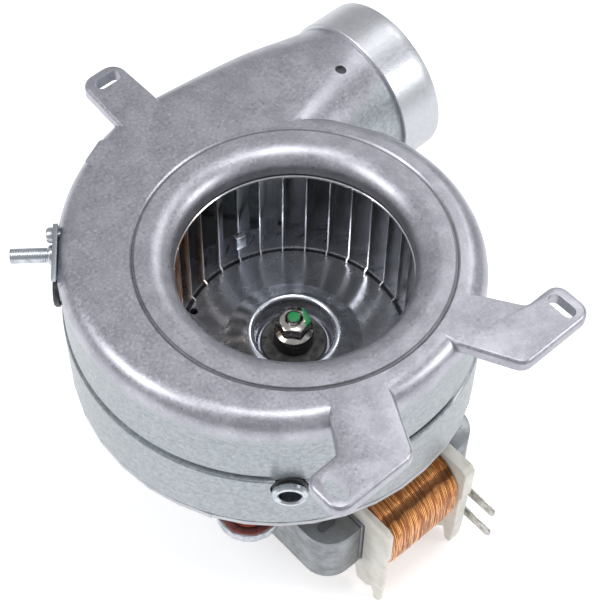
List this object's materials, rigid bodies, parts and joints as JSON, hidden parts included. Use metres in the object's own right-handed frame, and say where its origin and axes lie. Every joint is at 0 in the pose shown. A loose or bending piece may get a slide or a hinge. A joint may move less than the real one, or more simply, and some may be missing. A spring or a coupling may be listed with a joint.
{
  "type": "boiler flue extractor fan",
  "caption": "Centrifugal flue gas extractor fan: cast aluminium volute with slotted lugs and round outlet, stainless blower wheel and shaded-pole motor on silicone mounts.",
  "frame": {"origin": "on the shaft's axis, in the plane of the lugs' seating faces, at the centre of the inlet", "axes": "+Z out of the inlet along the shaft, +X out of the outlet spigot, +Y towards the single lug"},
  "size_m": [0.1685, 0.1846, 0.121],
  "materials": {
    "cast_aluminium": "as cast",
    "cover_aluminium": "satin",
    "stainless": "bright",
    "polished_disc": "polished",
    "zinc_plated": "satin",
    "bright_nut": "bright",
    "ground_steel": "ground, green paint on its tip",
    "laminated_steel": "varnished",
    "rotor_alloy": "as cast",
    "bridge_alloy": "as cast",
    "sintered_bronze": "sintered",
    "copper": "enamelled wire",
    "white_nylon": "moulded",
    "tinned_brass": "tinned",
    "red_silicone": "moulded",
    "black_rubber": "moulded",
    "dark_steel": "blackened"
  },
  "bodies": {
    "fan_frame": {"volute_housing": "cast_aluminium", "rear_cover": "cover_aluminium", "cover_screw_1": "zinc_plated", "cover_screw_2": "zinc_plated", "cover_screw_3": "zinc_plated", "cover_screw_4": "zinc_plated", "pressure_tap": "zinc_plated", "tap_seal": "black_rubber", "blanking_plug": "dark_steel", "stud_bracket": "zinc_plated", "fixing_stud": "zinc_plated", "bracket_screw": "zinc_plated", "stator_core": "laminated_steel", "shading_ring_1": "copper", "shading_ring_2": "copper", "coil_leg": "laminated_steel", "bobbin": "white_nylon", "coil": "copper", "terminal_1": "tinned_brass", "terminal_2": "tinned_brass", "lower_bridge": "bridge_alloy", "upper_bearing": "sintered_bronze", "lower_bearing": "sintered_bronze", "upper_thrust_washer": "white_nylon", "lower_thrust_washer": "white_nylon", "motor_bracket": "zinc_plated", "through_bolt_1": "zinc_plated", "through_bolt_2": "zinc_plated", "bolt_nut_1": "zinc_plated", "bolt_nut_2": "zinc_plated", "mount_grommet_1": "red_silicone", "mount_grommet_2": "red_silicone", "mount_grommet_3": "red_silicone", "mount_screw_1": "zinc_plated", "mount_screw_2": "zinc_plated", "mount_screw_3": "zinc_plated"},
    "rotor": {"shaft": "ground_steel", "rotor_core": "rotor_alloy", "impeller_back_disc": "polished_disc", "impeller_blade_cage": "stainless", "hub_plate": "dark_steel", "hub_bush": "black_rubber", "flange_nut": "bright_nut", "balance_clip": "zinc_plated"}
  },
  "joints": [
    {"name": "rotor_spin", "type": "hinge", "parent": "fan_frame", "child": "rotor", "pos_m": [0, 0, 0], "axis": [0, 0, 1], "continuous": true}
  ]
}
